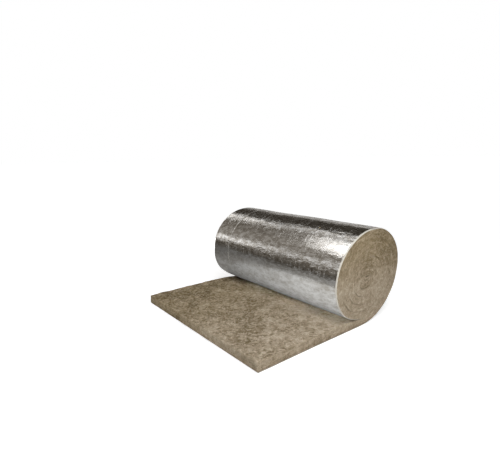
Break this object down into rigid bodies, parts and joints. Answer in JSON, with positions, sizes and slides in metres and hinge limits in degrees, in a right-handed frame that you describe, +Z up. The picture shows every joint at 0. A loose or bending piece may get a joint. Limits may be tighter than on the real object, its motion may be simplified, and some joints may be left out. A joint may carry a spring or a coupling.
{
  "type": "insulation roll",
  "caption": "Partly unrolled mineral wool mat with a reinforced aluminium foil facing, for wrapping and lining.",
  "frame": {"origin": "on the floor, under the middle of the roll's bounding box", "axes": "+X from the laid-out end towards the coil, Y along the coil's axis, +Z up"},
  "size_m": [0.9614, 1, 0.497],
  "materials": {
    "mineral_wool": "matt felted mineral wool, olive brown with paler tufts",
    "foil": "bright crinkled aluminium foil laminate with a fine reinforcing scrim"
  },
  "bodies": {
    "root": {"wool_mat": "mineral_wool", "foil_facing": "foil"}
  },
  "joints": []
}
